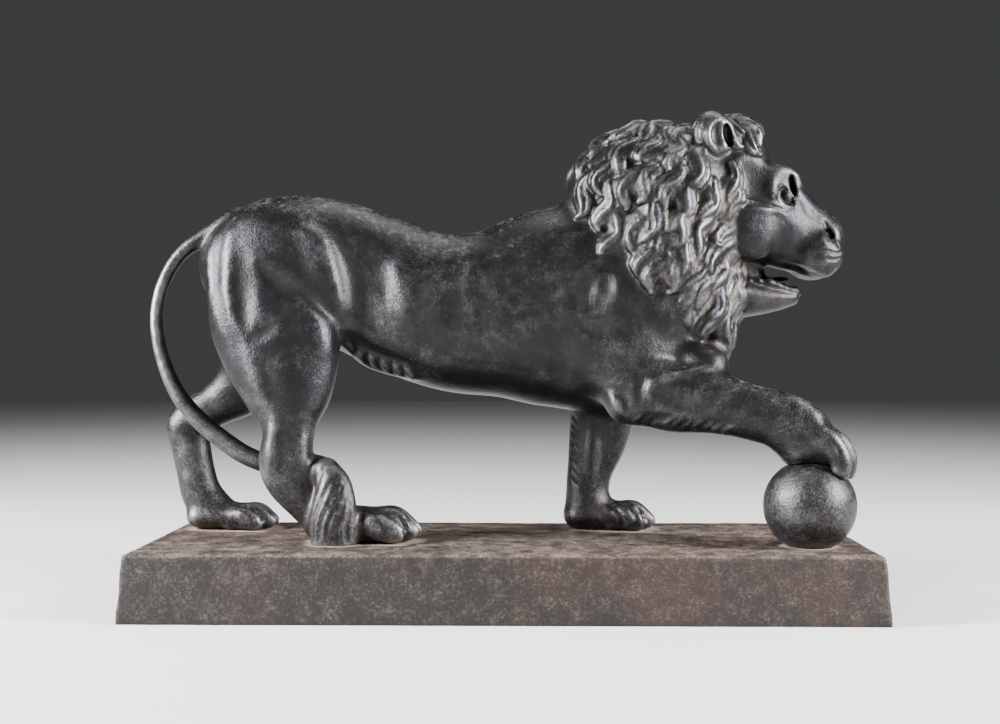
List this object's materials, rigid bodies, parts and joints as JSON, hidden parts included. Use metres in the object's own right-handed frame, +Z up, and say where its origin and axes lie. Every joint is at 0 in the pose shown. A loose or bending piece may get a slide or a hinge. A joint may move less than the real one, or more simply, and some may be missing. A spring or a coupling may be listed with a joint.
{
  "type": "cast iron lion statue",
  "caption": "Cast iron lion walking with its right forepaw raised on a ball, tail curled round a hind leg, on a rectangular plinth.",
  "frame": {"origin": "centre of the plinth's flat underside", "axes": "+X the way the lion faces, +Z up; the raised paw is on the lion's right, towards -Y"},
  "size_m": [0.307, 0.1138, 0.2111],
  "materials": {
    "figure_iron": "near-black sand-cast iron with a worn semi-gloss patina, dusty in its recesses",
    "plinth_iron": "duller grey-brown mottled iron, dusty on top with reddish-brown patches"
  },
  "bodies": {
    "root": {"plinth": "plinth_iron", "ball": "figure_iron", "lion": "figure_iron"}
  },
  "joints": []
}
